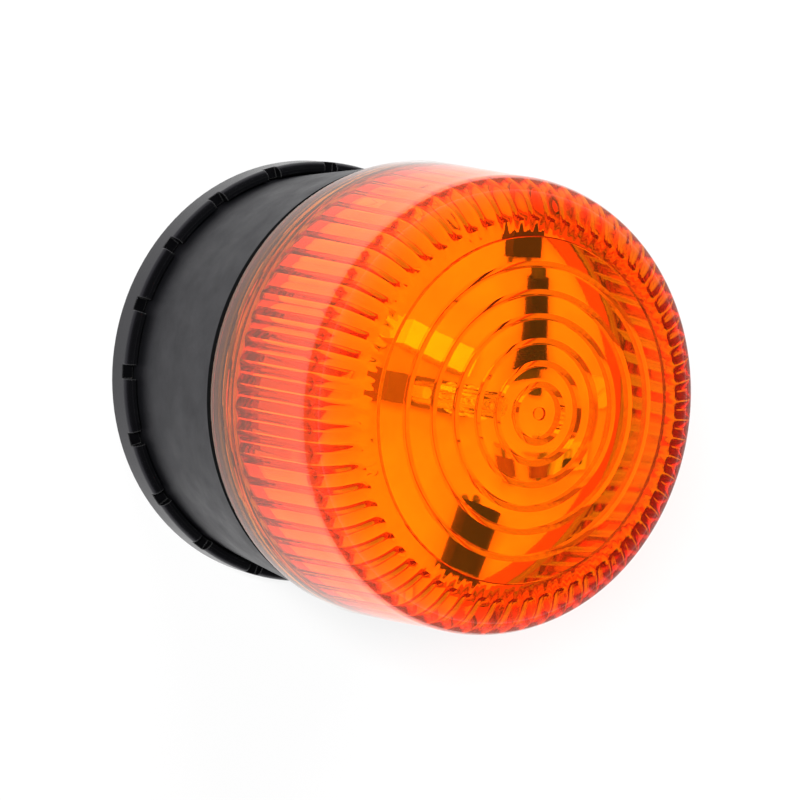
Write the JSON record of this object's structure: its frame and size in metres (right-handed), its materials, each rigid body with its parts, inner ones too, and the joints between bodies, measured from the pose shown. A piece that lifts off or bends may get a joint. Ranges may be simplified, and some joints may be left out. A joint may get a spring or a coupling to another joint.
{
  "type": "surface mounted warning light",
  "caption": "Round surface mounted flashing warning light: notched black base, twist-locked black housing and a screwed amber lens with fluted wall and ringed face.",
  "frame": {"origin": "centre of the mounting face", "axes": "+Z along the lamp axis from the mounting face to the lens; +Y up and +X right on a wall, seen from the front; the two fixing holes lie along X"},
  "size_m": [0.093, 0.093, 0.09],
  "materials": {
    "black_abs": "fine moulded texture, slightly worn on the edges",
    "amber_lens": "clear amber moulding, polished outside, fluted and ringed inside",
    "seal_rubber": "matt black seal",
    "gasket_foam": "closed cell foam",
    "terminal_nylon": "grey moulded nylon",
    "plated_steel": "zinc plated",
    "plated_brass": "tinned brass",
    "lead_black": "insulated lead",
    "lead_red": "insulated lead",
    "board": "tan laminate with a satin surface",
    "fibre_red": "pressed fibre",
    "carrier_brown": "pressed board, fine texture",
    "tube_glass": "clear polished",
    "can_aluminium": "drawn, with a scored top",
    "sleeve_black": "shrunk sleeve",
    "film_yellow": "moulded box",
    "ferrite": "pressed ferrite",
    "lacquered_wire": "wound turn by turn, black lacquer",
    "epoxy_black": "moulded epoxy",
    "resistor_tan": "coated body with bands",
    "switch_grey": "moulded case",
    "slider_black": "moulded slider"
  },
  "bodies": {
    "base": {"mounting_base": "black_abs", "base_gasket": "gasket_foam", "head_seal": "seal_rubber", "terminal_block": "terminal_nylon", "contact_springs": "plated_brass"},
    "head": {"housing": "black_abs", "contact_pads": "plated_brass", "lead_negative": "lead_black", "lead_positive": "lead_red", "main_board": "board", "board_screws": "plated_steel", "edge_ring": "fibre_red", "bridge_rectifier": "epoxy_black", "bridge_legs": "plated_steel", "tube_carrier": "carrier_brown", "flash_tube": "tube_glass", "tube_electrodes": "plated_steel", "trigger_wire": "plated_steel", "capacitor_can": "can_aluminium", "capacitor_sleeve": "sleeve_black", "film_capacitor": "film_yellow", "choke_core": "ferrite", "choke_winding": "lacquered_wire", "trigger_transformer": "epoxy_black", "transistor": "epoxy_black", "transistor_tab": "plated_steel", "control_chip": "epoxy_black", "chip_pins": "plated_steel", "resistors": "resistor_tan", "diodes": "epoxy_black", "component_leads": "plated_steel", "option_switch": "switch_grey"},
    "slider_1": {"switch_slider_1": "slider_black"},
    "slider_2": {"switch_slider_2": "slider_black"},
    "lens_seal": {"lens_seal": "seal_rubber"},
    "lens": {"lens": "amber_lens"},
    "terminal_screw_1": {"terminal_screw_1": "plated_steel"},
    "clamp_cage_1": {"clamp_cage_1": "plated_steel"},
    "terminal_screw_2": {"terminal_screw_2": "plated_steel"},
    "clamp_cage_2": {"clamp_cage_2": "plated_steel"},
    "terminal_screw_3": {"terminal_screw_3": "plated_steel"},
    "clamp_cage_3": {"clamp_cage_3": "plated_steel"},
    "terminal_screw_4": {"terminal_screw_4": "plated_steel"},
    "clamp_cage_4": {"clamp_cage_4": "plated_steel"}
  },
  "joints": [
    {"name": "head_twist", "type": "hinge", "parent": "base", "child": "head", "pos_m": [0, 0, 0], "axis": [0, 0, 1], "range_deg": [0, 28]},
    {"name": "terminal_screw_1_turn", "type": "hinge", "parent": "base", "child": "terminal_screw_1", "pos_m": [-0.012, 0.0215, 0.0128], "axis": [0, 0, -1], "range_deg": [0, 727]},
    {"name": "clamp_cage_1_lift", "type": "slide", "parent": "base", "child": "clamp_cage_1", "axis": [0, 0, 1], "range_m": [0, 0.001]},
    {"name": "terminal_screw_2_turn", "type": "hinge", "parent": "base", "child": "terminal_screw_2", "pos_m": [-0.004, 0.0215, 0.0128], "axis": [0, 0, -1], "range_deg": [0, 727]},
    {"name": "clamp_cage_2_lift", "type": "slide", "parent": "base", "child": "clamp_cage_2", "axis": [0, 0, 1], "range_m": [0, 0.001]},
    {"name": "terminal_screw_3_turn", "type": "hinge", "parent": "base", "child": "terminal_screw_3", "pos_m": [0.004, 0.0215, 0.0128], "axis": [0, 0, -1], "range_deg": [0, 727]},
    {"name": "clamp_cage_3_lift", "type": "slide", "parent": "base", "child": "clamp_cage_3", "axis": [0, 0, 1], "range_m": [0, 0.001]},
    {"name": "terminal_screw_4_turn", "type": "hinge", "parent": "base", "child": "terminal_screw_4", "pos_m": [0.012, 0.0215, 0.0128], "axis": [0, 0, -1], "range_deg": [0, 727]},
    {"name": "clamp_cage_4_lift", "type": "slide", "parent": "base", "child": "clamp_cage_4", "axis": [0, 0, 1], "range_m": [0, 0.001]},
    {"name": "slider_1_slide", "type": "slide", "parent": "head", "child": "slider_1", "axis": [0, 1, 0], "range_m": [0, 0.0015]},
    {"name": "slider_2_slide", "type": "slide", "parent": "head", "child": "slider_2", "axis": [0, 1, 0], "range_m": [0, 0.0015]},
    {"name": "lens_travel", "type": "slide", "parent": "head", "child": "lens_seal", "axis": [0, 0, 1], "range_m": [0, 0.00605]},
    {"name": "lens_turn", "type": "hinge", "parent": "lens_seal", "child": "lens", "pos_m": [0, 0, 0.046], "axis": [0, 0, 1], "range_deg": [0, 1080]}
  ],
  "couplings": [
    {"joint": "terminal_screw_1_turn", "follows": "clamp_cage_1_lift", "rad_per_m": 12566},
    {"joint": "terminal_screw_2_turn", "follows": "clamp_cage_2_lift", "rad_per_m": 12566},
    {"joint": "terminal_screw_3_turn", "follows": "clamp_cage_3_lift", "rad_per_m": 12566},
    {"joint": "terminal_screw_4_turn", "follows": "clamp_cage_4_lift", "rad_per_m": 12566},
    {"joint": "lens_travel", "follows": "lens_turn", "m_per_rad": 0.00031831}
  ]
}
